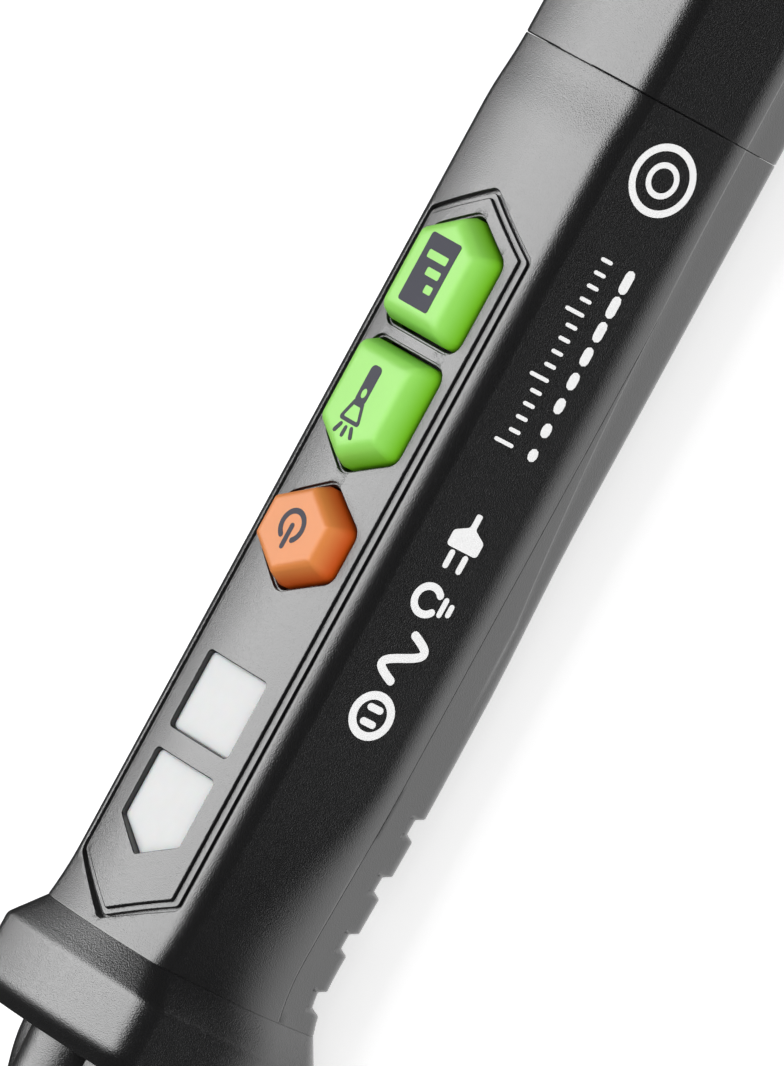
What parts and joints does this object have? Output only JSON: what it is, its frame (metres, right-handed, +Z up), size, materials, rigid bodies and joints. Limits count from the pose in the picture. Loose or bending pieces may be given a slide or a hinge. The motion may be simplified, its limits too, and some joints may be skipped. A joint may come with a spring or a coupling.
{
  "type": "non contact voltage tester",
  "caption": "Pen-shaped non-contact voltage tester with finger guard, key panel, indicator windows, torch nose and a pull-off battery cap with pocket clip.",
  "frame": {"origin": "centre of the overall box at the plane that the finger guard and the pocket clip lie on", "axes": "+X along the tester from its sensing tip to its tail, +Z up through the control panel, the printed side faces -Y"},
  "size_m": [0.155, 0.025, 0.023],
  "materials": {
    "black_plastic": "satin moulded ABS with a fine spark texture",
    "orange_plastic": "satin moulded plastic with dark printed symbol",
    "green_plastic": "satin moulded plastic with dark printed symbol",
    "white_diffuser": "milky translucent moulding",
    "clear_plastic": "clear moulding",
    "bright_steel": "nickel plated",
    "copper": "bare copper foil",
    "insulated_lead": "PVC insulated wire",
    "circuit_board": "solder resist over glass fibre",
    "chip_black": "matt moulded package",
    "natural_nylon": "natural nylon",
    "rubber": "matt silicone",
    "cell_jacket": "glossy sleeve over a metal can"
  },
  "bodies": {
    "housing": {"front_shell": "black_plastic", "back_shell": "black_plastic", "control_panel": "black_plastic", "finger_guard": "black_plastic", "nose_housing": "black_plastic", "light_baffle": "black_plastic", "high_alert_window": "white_diffuser", "low_alert_window": "white_diffuser", "probe_tip": "white_diffuser", "high_alert_led": "clear_plastic", "low_alert_led": "clear_plastic", "torch_lens": "clear_plastic", "torch_led": "clear_plastic", "torch_reflector": "bright_steel", "front_contact": "bright_steel", "return_strip": "bright_steel", "body_screw_left": "bright_steel", "body_screw_right": "bright_steel", "sensor_plate": "copper", "sensor_lead": "insulated_lead", "torch_lead": "insulated_lead", "circuit_board": "circuit_board", "control_chip": "chip_black", "sense_amplifier": "chip_black", "buzzer": "chip_black", "power_switch": "chip_black", "torch_switch": "chip_black", "sensitivity_switch": "chip_black", "key_gasket": "rubber", "cap_seal": "rubber", "front_cell": "cell_jacket", "rear_cell": "cell_jacket"},
    "power_button": {"power_key": "orange_plastic", "power_plunger": "natural_nylon"},
    "torch_button": {"torch_key": "green_plastic", "torch_plunger": "natural_nylon"},
    "sensitivity_button": {"sensitivity_key": "green_plastic", "sensitivity_plunger": "natural_nylon"},
    "cap": {"end_cap": "black_plastic", "cap_contact_spring": "bright_steel", "cap_contact_plate": "bright_steel", "clip_mount": "black_plastic", "clip_screw": "bright_steel"},
    "clip": {"pocket_clip": "black_plastic"}
  },
  "joints": [
    {"name": "power_press", "type": "slide", "parent": "housing", "child": "power_button", "axis": [0, 0, -1], "range_m": [0, 0.0006], "stiffness_N_per_m": 1500},
    {"name": "torch_press", "type": "slide", "parent": "housing", "child": "torch_button", "axis": [0, 0, -1], "range_m": [0, 0.0006], "stiffness_N_per_m": 1500},
    {"name": "sensitivity_press", "type": "slide", "parent": "housing", "child": "sensitivity_button", "axis": [0, 0, -1], "range_m": [0, 0.0006], "stiffness_N_per_m": 1500},
    {"name": "cap_pull", "type": "slide", "parent": "housing", "child": "cap", "axis": [1, 0, 0], "range_m": [0, 0.04]},
    {"name": "clip_flex", "type": "hinge", "parent": "cap", "child": "clip", "pos_m": [0.0705, 0, 0.0014], "axis": [0, -1, 0], "range_deg": [0, 6], "stiffness_Nm_per_rad": 1.7}
  ]
}
